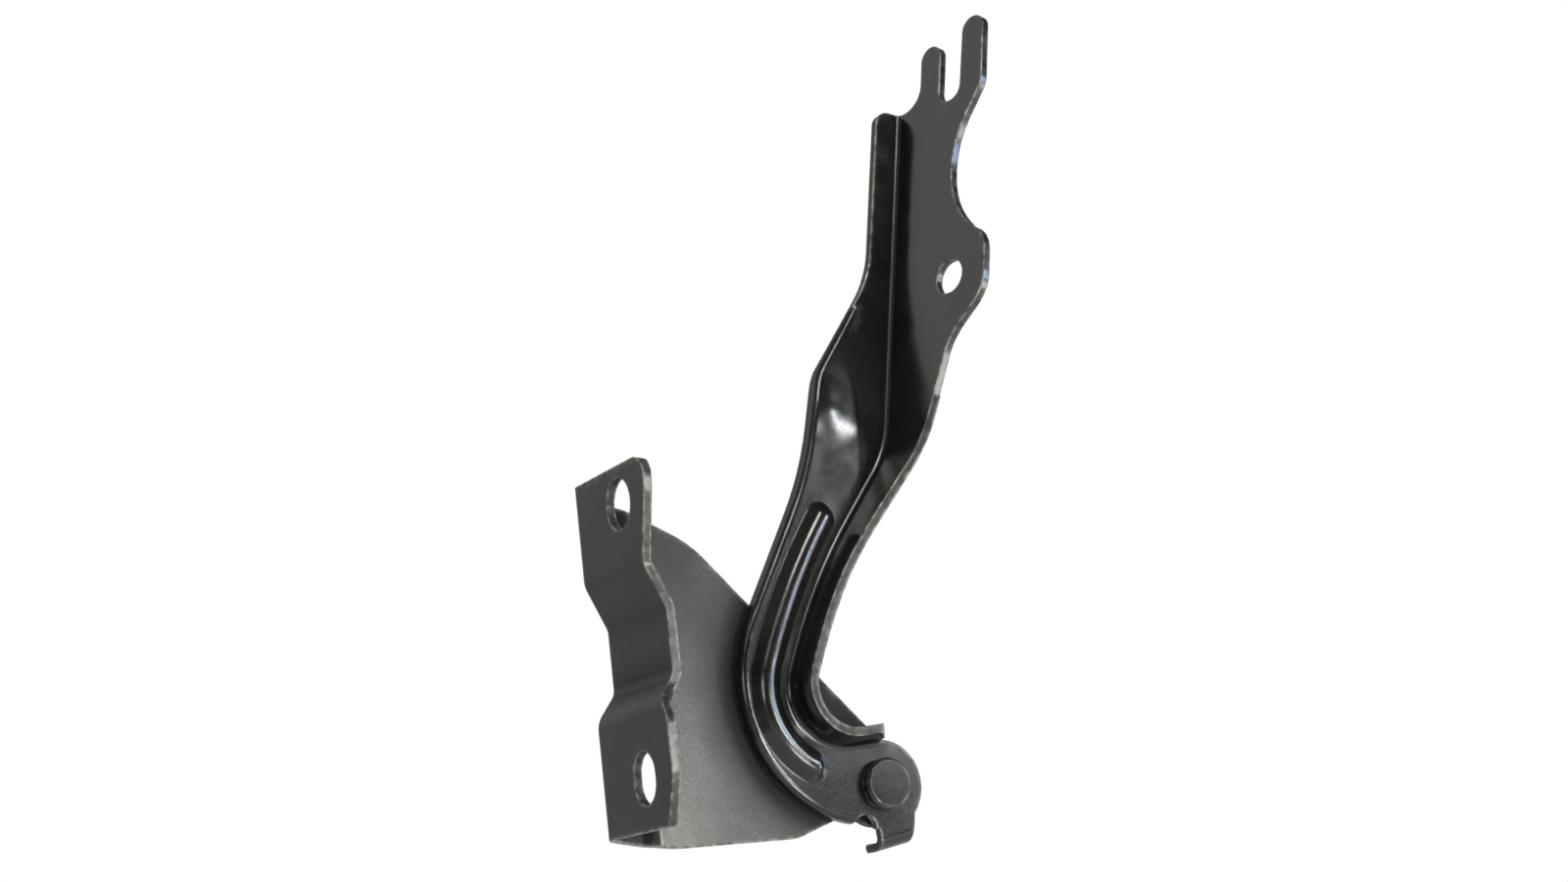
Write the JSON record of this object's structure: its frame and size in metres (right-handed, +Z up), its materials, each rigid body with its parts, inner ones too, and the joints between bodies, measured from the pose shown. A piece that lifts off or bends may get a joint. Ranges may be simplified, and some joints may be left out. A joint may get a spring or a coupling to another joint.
{
  "type": "bonnet hinge",
  "caption": "Pressed steel vehicle bonnet hinge: a joggled body bracket and a long curved bonnet arm with a forked flange, joined by a shouldered rivet.",
  "frame": {"origin": "middle of the upper body hole, on the face that lies against the body", "axes": "+X from the body through the body flange, +Z up along the bracket, +Y away from the rivet head, along the pivot"},
  "size_m": [0.1621, 0.0579, 0.2976],
  "materials": {
    "coated_bracket": "black coating, semi-gloss",
    "coated_arm": "black coating, gloss",
    "coated_rivet": "black coating, satin",
    "bush_bronze": "satin",
    "washer_steel": "satin"
  },
  "bodies": {
    "bracket": {"body_bracket": "coated_bracket", "pivot_rivet": "coated_rivet", "thrust_washer": "washer_steel"},
    "arm": {"bonnet_arm": "coated_arm", "pivot_bush": "bush_bronze"}
  },
  "joints": [
    {"name": "bonnet_swing", "type": "hinge", "parent": "bracket", "child": "arm", "pos_m": [0.103, 0.026, -0.094], "axis": [0, 1, 0], "range_deg": [-14, 48]}
  ]
}
